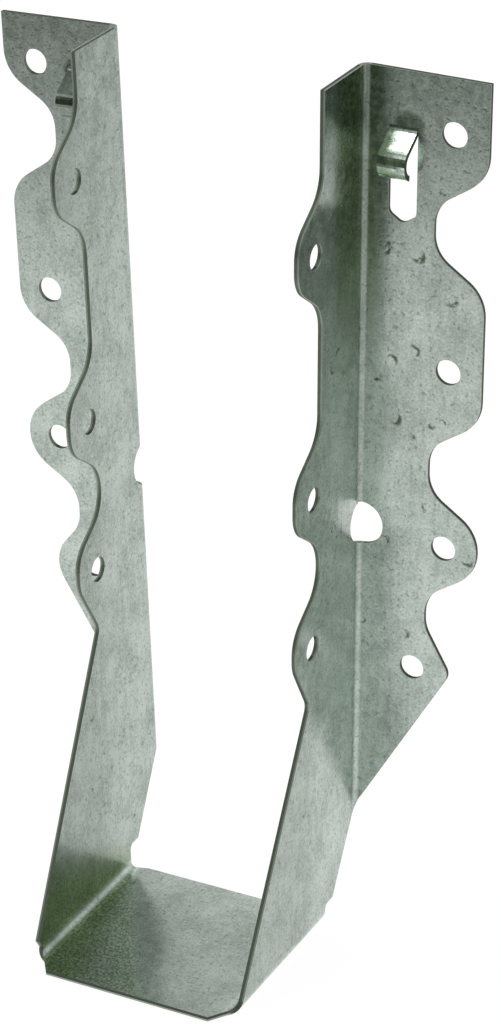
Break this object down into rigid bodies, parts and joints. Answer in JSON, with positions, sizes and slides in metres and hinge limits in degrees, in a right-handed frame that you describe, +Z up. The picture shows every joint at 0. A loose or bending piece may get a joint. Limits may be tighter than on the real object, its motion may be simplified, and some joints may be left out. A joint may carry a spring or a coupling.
{
  "type": "joist hanger",
  "caption": "Face-mount joist hanger folded from one galvanised steel sheet: a flat seat, two tall walls, two flanges with wavy edges, nail holes and curled prongs.",
  "frame": {"origin": "middle of the seat's top face, where the joist rests", "axes": "+Z up along the walls, +Y from the joist towards the header, X across the joist"},
  "size_m": [0.0936, 0.0505, 0.1627],
  "materials": {
    "steel": "galvanised, matt, faint grain"
  },
  "bodies": {
    "root": {"hanger": "steel"}
  },
  "joints": []
}
